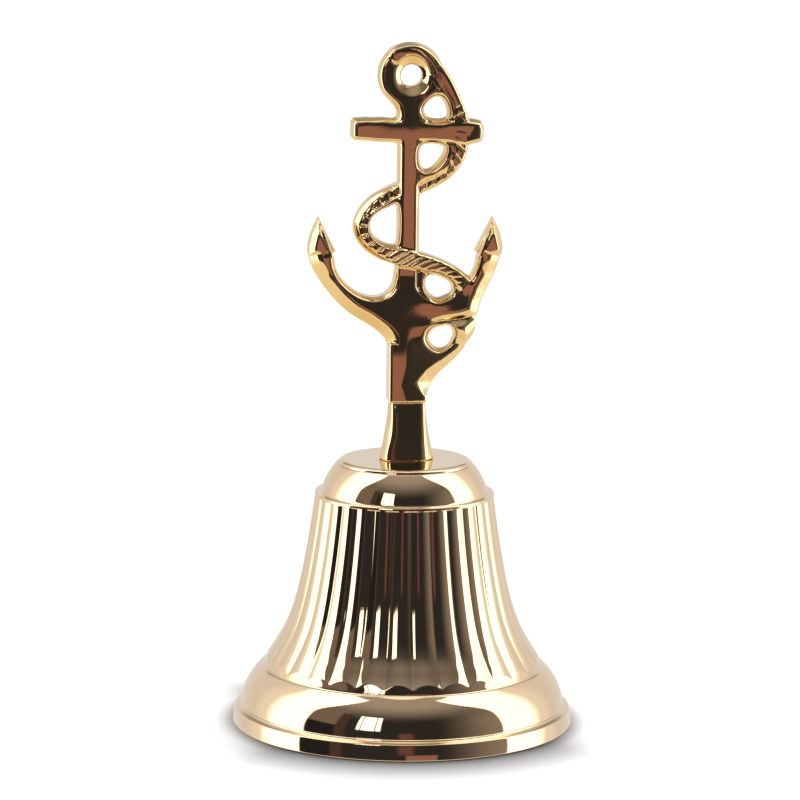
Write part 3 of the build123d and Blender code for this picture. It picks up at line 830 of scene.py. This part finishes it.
def look_directions(tree):
    """Degrees to the right of the camera, and above level, of what a ray heads for."""
    direction = add(tree, "ShaderNodeTexCoord", output="Generated")
    front_axis = (math.cos(CAMERA_AZIMUTH), math.sin(CAMERA_AZIMUTH), 0.0)
    right_axis = (-math.sin(CAMERA_AZIMUTH), math.cos(CAMERA_AZIMUTH), 0.0)
    front, right = (add(tree, "ShaderNodeVectorMath", {0: direction, 1: axis}, output="Value",
                        operation="DOT_PRODUCT") for axis in (front_axis, right_axis))
    up = add(tree, "ShaderNodeSeparateXYZ", {"Vector": direction}, output="Z")
    turn = math_node(tree, "MULTIPLY", math_node(tree, "ARCTAN2", right, front), 180 / math.pi)
    rise = math_node(tree, "MULTIPLY", math_node(tree, "ARCSINE", up), 180 / math.pi)
    return turn, rise


def dim_room(tree, turn, rise):
    """The room in front of the tent: dark, with a paler ceiling, a right wall and what ROOM lists."""
    ceiling = blend_range(tree, rise, 30.0, 66.0)
    dim = mix_colour(tree, ceiling, (0.030, 0.030, 0.034, 1.0), (0.40, 0.37, 0.35, 1.0))
    right_wall = math_node(tree, "MULTIPLY", blend_range(tree, turn, 24.0, 76.0),
                           blend_range(tree, rise, 60.0, 20.0))
    dim = mix_colour(tree, right_wall, dim, (0.29, 0.25, 0.23, 1.0))
    for left, right, low, high, soft, colour in ROOM:
        dim = mix_colour(tree, patch(tree, turn, rise, left, right, low, high, soft), dim, colour)
    return dim


def tent_opening(tree, side, rise):
    """1 where the tent is open: in front, narrower higher up, and over the bright side panels."""
    edge = blend_range(tree, rise, 30.0, 70.0, 74.5, 53.5)
    past_edge = blend_range(tree, math_node(tree, "SUBTRACT", side, edge), -1.0, 1.0)
    over_panel = math_node(tree, "MULTIPLY", blend_range(tree, rise, 68.5, 71.5),
                           blend_range(tree, side, 88.0, 100.0, 1.0, 0.0))
    opening = math_node(tree, "MAXIMUM", math_node(tree, "SUBTRACT", 1.0, past_edge), over_panel)
    under_top = blend_range(tree, rise, 78.0, 82.0, 1.0, 0.0)
    return math_node(tree, "MULTIPLY", opening, under_top)


def tent_cloth(tree, side, rise, table):
    """The tent: bright panels at the sides, a dimmer back with a shaded part, a lit top, a warm hem."""
    panel_end = blend_range(tree, rise, 40.0, 60.0, 0.0, 14.0)
    panel = blend_range(tree, math_node(tree, "SUBTRACT", side, panel_end), 101.0, 116.0, 1.0, 0.0)
    at_back = blend_range(tree, side, 118.0, 134.0)
    wall = mix_colour(tree, at_back, (0.98, 0.96, 0.94, 1.0), (0.80, 0.80, 0.81, 1.0))
    tent = mix_colour(tree, panel, wall, (2.25, 2.25, 2.25, 1.0))
    shaded = math_node(tree, "MULTIPLY", blend_range(tree, side, 140.0, 156.0),
                       blend_range(tree, rise, 16.0, 26.0))
    tent = mix_colour(tree, shaded, tent, (0.40, 0.38, 0.36, 1.0))
    tent = mix_colour(tree, blend_range(tree, rise, 74.0, 84.0), tent, (1.35, 1.33, 1.3, 1.0))
    return mix_colour(tree, blend_range(tree, rise, -42.0, -12.0, 1.0, 0.0), tent, table)


def make_light():
    """A white tent round the bell, open towards the camera onto a dim room with one window."""
    world = bpy.data.worlds.new("studio")
    bpy.context.scene.world = world
    world.use_nodes = True
    tree = world.node_tree
    tree.nodes.clear()
    turn, rise = look_directions(tree)
    side = math_node(tree, "ABSOLUTE", math_node(tree, "SUBTRACT", turn, 1.5))
    table = mix_colour(tree, blend_range(tree, rise, -80.0, -35.0), (0.82, 0.74, 0.46, 1.0),
                       (1.00, 0.90, 0.70, 1.0))
    dim = dim_room(tree, turn, rise)
    dim = mix_colour(tree, blend_range(tree, rise, -33.0, -27.0, 1.0, 0.0), dim, table)
    seen = mix_colour(tree, tent_opening(tree, side, rise), tent_cloth(tree, side, rise, table), dim)
    path = add(tree, "ShaderNodeLightPath").node
    plain = add(tree, "ShaderNodeBackground", {"Color": (1.0, 1.0, 1.0, 1.0), "Strength": 1.1})
    studio = add(tree, "ShaderNodeBackground", {"Color": seen, "Strength": 1.0})
    soft = add(tree, "ShaderNodeBackground", {"Color": (0.62, 0.62, 0.63, 1.0), "Strength": 1.0})
    both = add(tree, "ShaderNodeMixShader", {0: path.outputs["Is Camera Ray"], 1: studio, 2: plain})
    both = add(tree, "ShaderNodeMixShader", {0: path.outputs["Is Diffuse Ray"], 1: both, 2: soft})
    out = tree.nodes.new("ShaderNodeOutputWorld")
    tree.links.new(both, out.inputs["Surface"])


def make_overhead():
    """A wide soft light over and behind the bell, which only the floor shows."""
    data = bpy.data.lights.new("overhead", "SUN")
    data.energy = OVERHEAD_STRENGTH
    data.angle = OVERHEAD_SPREAD
    lamp = bpy.data.objects.new("overhead", data)
    lamp.rotation_euler = Euler(OVERHEAD_TILT)
    lamp.visible_glossy = False
    bpy.context.scene.collection.objects.link(lamp)


def make_camera():
    """A long lens at the photograph's angle, tipped by its small roll."""
    data = bpy.data.cameras.new("camera")
    data.lens = CAMERA_LENS
    data.sensor_width = 36.0
    data.clip_end = 20.0
    camera = bpy.data.objects.new("camera", data)
    bpy.context.scene.collection.objects.link(camera)
    flat = CAMERA_DISTANCE * math.cos(CAMERA_ELEVATION)
    camera.location = (LOOK_AT[0] + flat * math.cos(CAMERA_AZIMUTH),
                       LOOK_AT[1] + flat * math.sin(CAMERA_AZIMUTH),
                       LOOK_AT[2] + CAMERA_DISTANCE * math.sin(CAMERA_ELEVATION))
    aim = Euler((math.pi / 2 - CAMERA_ELEVATION, 0.0, CAMERA_AZIMUTH + math.pi / 2)).to_quaternion()
    camera.rotation_euler = (aim @ Quaternion((0.0, 0.0, 1.0), CAMERA_ROLL)).to_euler()
    bpy.context.scene.camera = camera


make_floor()
make_light()
make_overhead()
make_camera()
bpy.context.scene.view_settings.view_transform = "Standard"
